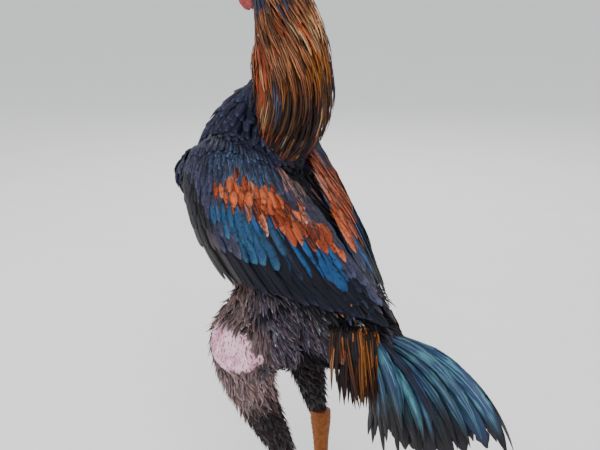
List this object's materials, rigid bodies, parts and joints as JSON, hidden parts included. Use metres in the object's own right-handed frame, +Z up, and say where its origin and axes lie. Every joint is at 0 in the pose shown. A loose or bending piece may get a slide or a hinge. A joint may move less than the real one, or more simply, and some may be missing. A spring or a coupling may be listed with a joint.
{
  "type": "malay rooster",
  "caption": "Life-size standing Malay cock: upright neck with hanging hackle, wings let down like a cape, drooping tail of overlapping feathers, long scaled legs.",
  "frame": {"origin": "on the floor, under the middle of the bird's box", "axes": "+X the way the bird faces, +Y its left, +Z up"},
  "size_m": [0.5116, 0.2488, 0.849],
  "materials": {
    "body_feathers": "black feathers with a faint blue sheen, grey-brown on the belly",
    "hackle_feathers": "long mahogany and gold hackle feathers with black centres",
    "face_skin": "bare red skin, finely wrinkled",
    "comb_skin": "bare red skin, pebbled",
    "beak_horn": "yellow horn, darker at the ridge",
    "eye": "pearl iris with a black pupil, wet",
    "wing_feathers": "blue-black wing feathers with an orange bow",
    "tail_feathers": "glossy teal-black tail feathers with pale shafts",
    "thigh_feathers": "short sparse brown-black feathers with bare pink skin at the knee",
    "leg_scales": "orange-yellow scutes",
    "claw_horn": "horn"
  },
  "bodies": {
    "root": {"torso": "body_feathers", "neck": "hackle_feathers", "head": "face_skin", "comb": "comb_skin", "beak_upper": "beak_horn", "beak_lower": "beak_horn", "eye_left": "eye", "eye_right": "eye", "earlobe_left": "comb_skin", "earlobe_right": "comb_skin", "wattle_left": "comb_skin", "wattle_right": "comb_skin", "wing_left": "wing_feathers", "wing_right": "wing_feathers", "tail": "tail_feathers", "thigh_left": "thigh_feathers", "thigh_right": "thigh_feathers", "shank_left": "leg_scales", "shank_right": "leg_scales", "foot_left": "leg_scales", "foot_right": "leg_scales", "claw_inner_left": "claw_horn", "claw_inner_right": "claw_horn", "claw_middle_left": "claw_horn", "claw_middle_right": "claw_horn", "claw_outer_left": "claw_horn", "claw_outer_right": "claw_horn", "claw_hind_left": "claw_horn", "claw_hind_right": "claw_horn", "spur_left": "claw_horn", "spur_right": "claw_horn"}
  },
  "joints": []
}
